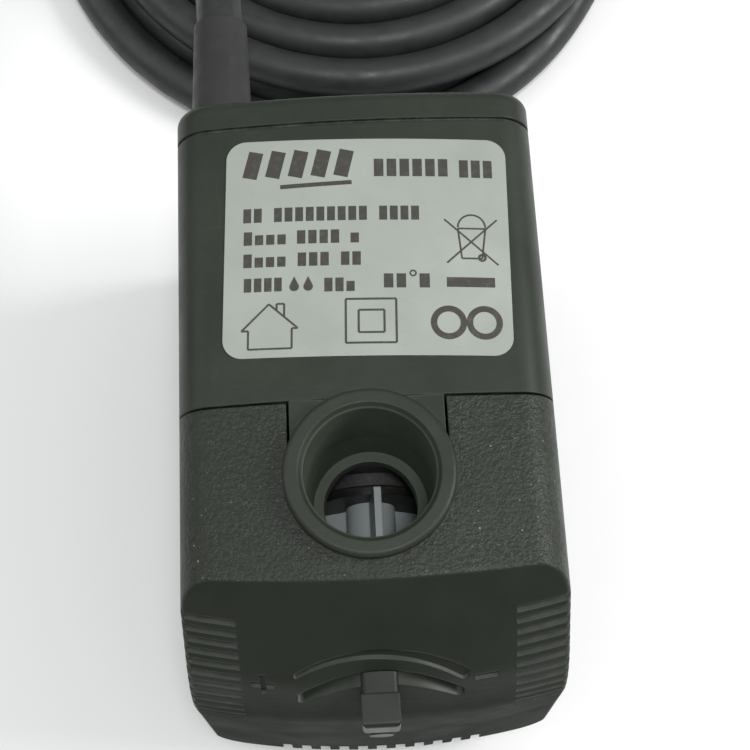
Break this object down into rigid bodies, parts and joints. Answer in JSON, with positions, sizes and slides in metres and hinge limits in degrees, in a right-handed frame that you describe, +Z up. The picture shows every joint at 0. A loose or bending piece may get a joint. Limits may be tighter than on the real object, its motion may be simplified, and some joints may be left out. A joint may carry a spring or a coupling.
{
  "type": "fountain submersible pump",
  "caption": "Small submersible fountain pump: crowned motor body with top outlet, slotted strainer cover with flow lever, magnet rotor, suction-cup feet and coiled lead with plug.",
  "frame": {"origin": "on the resting plane of the suction cups, at the middle of the pump's outline without its lead", "axes": "+X to the right seen from the intake end, -Y towards the intake and flow lever, +Z up along the outlet"},
  "size_m": [0.0991, 0.268, 0.0536],
  "materials": {
    "housing_plastic": "satin",
    "cap_plastic": "satin",
    "label_foil": "satin silver film",
    "lamination_steel": "bare, stacked sheets",
    "bobbin_plastic": "moulded nylon",
    "enamelled_copper": "enamelled copper wire",
    "cutout_case": "small metal can",
    "tinned_crimp": "tinned",
    "core_insulation": "PVC",
    "resin": "cast epoxy",
    "ceramic_shaft": "polished white ceramic",
    "bush_rubber": "soft",
    "washer_ceramic": "ground",
    "rotor_plastic": "moulded",
    "ferrite": "ground ferrite",
    "impeller_plastic": "white moulded",
    "chamber_plastic": "satin",
    "seal_rubber": "smooth",
    "cover_plastic": "grained",
    "regulator_plastic": "smooth",
    "cup_rubber": "smooth",
    "cable_rubber": "satin",
    "plug_plastic": "moulded PVC",
    "pin_sleeve_plastic": "moulded",
    "pin_metal": "nickel plated"
  },
  "bodies": {
    "housing": {"motor_housing": "housing_plastic", "rear_cap": "cap_plastic", "rating_label": "label_foil", "stator_core": "lamination_steel", "coil_bobbin": "bobbin_plastic", "coil_winding": "enamelled_copper", "thermal_cutout": "cutout_case", "crimp_sleeves": "tinned_crimp", "lead_wires": "core_insulation", "potting_resin": "resin", "rotor_shaft": "ceramic_shaft", "rear_bush": "bush_rubber", "front_bush": "bush_rubber", "rear_thrust_washer": "washer_ceramic", "front_thrust_washer": "washer_ceramic", "chamber_cover": "chamber_plastic", "chamber_o_ring": "seal_rubber", "suction_cup_front_left": "cup_rubber", "suction_cup_rear_left": "cup_rubber", "suction_cup_front_right": "cup_rubber", "suction_cup_rear_right": "cup_rubber", "cable_gland": "cable_rubber", "power_cable": "cable_rubber", "cable_coil": "cable_rubber", "power_cable_tail": "cable_rubber", "plug_body": "plug_plastic", "plug_pin_sleeves": "pin_sleeve_plastic", "plug_pins": "pin_metal"},
    "rotor": {"rotor_sleeve": "rotor_plastic", "rotor_magnet": "ferrite", "impeller": "impeller_plastic"},
    "strainer": {"strainer_cover": "cover_plastic"},
    "regulator": {"flow_regulator": "regulator_plastic"}
  },
  "joints": [
    {"name": "rotor_spin", "type": "hinge", "parent": "housing", "child": "rotor", "pos_m": [0, -0.01, 0.025], "axis": [0, -1, 0], "continuous": true},
    {"name": "strainer_slide", "type": "slide", "parent": "housing", "child": "strainer", "axis": [0, -1, 0], "range_m": [0, 0.05]},
    {"name": "regulator_turn", "type": "hinge", "parent": "strainer", "child": "regulator", "pos_m": [0, -0.03, 0.025], "axis": [0, -1, 0], "range_deg": [-26, 26]}
  ]
}
